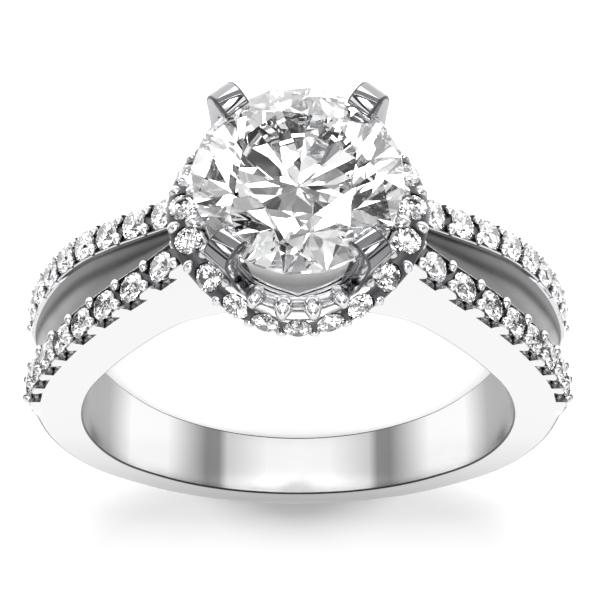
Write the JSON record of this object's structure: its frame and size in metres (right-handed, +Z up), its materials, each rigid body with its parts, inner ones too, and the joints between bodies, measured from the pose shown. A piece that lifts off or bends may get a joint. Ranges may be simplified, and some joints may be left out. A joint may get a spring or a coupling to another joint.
{
  "type": "diamond ring",
  "caption": "Finger ring with a large round cut stone in claws above a collar of small stones, and shoulders split by a polished groove into two stone-set rails.",
  "frame": {"origin": "middle of the ring's box on the surface that it lies on", "axes": "+Z up from the surface; -Y towards the head and centre stone; +X across the ring; the finger hole runs almost along Z"},
  "size_m": [0.0206, 0.0258, 0.0092],
  "materials": {
    "polished_white_gold": "mirror polished, rhodium plated",
    "diamond": "cut and polished"
  },
  "bodies": {
    "root": {"mounting": "polished_white_gold", "centre_stone": "diamond", "shoulder_stones_front_left": "diamond", "shoulder_stones_front_right": "diamond", "shoulder_stones_back_left": "diamond", "shoulder_stones_back_right": "diamond", "collar_stones_front": "diamond", "collar_stones_back": "diamond"}
  },
  "joints": []
}
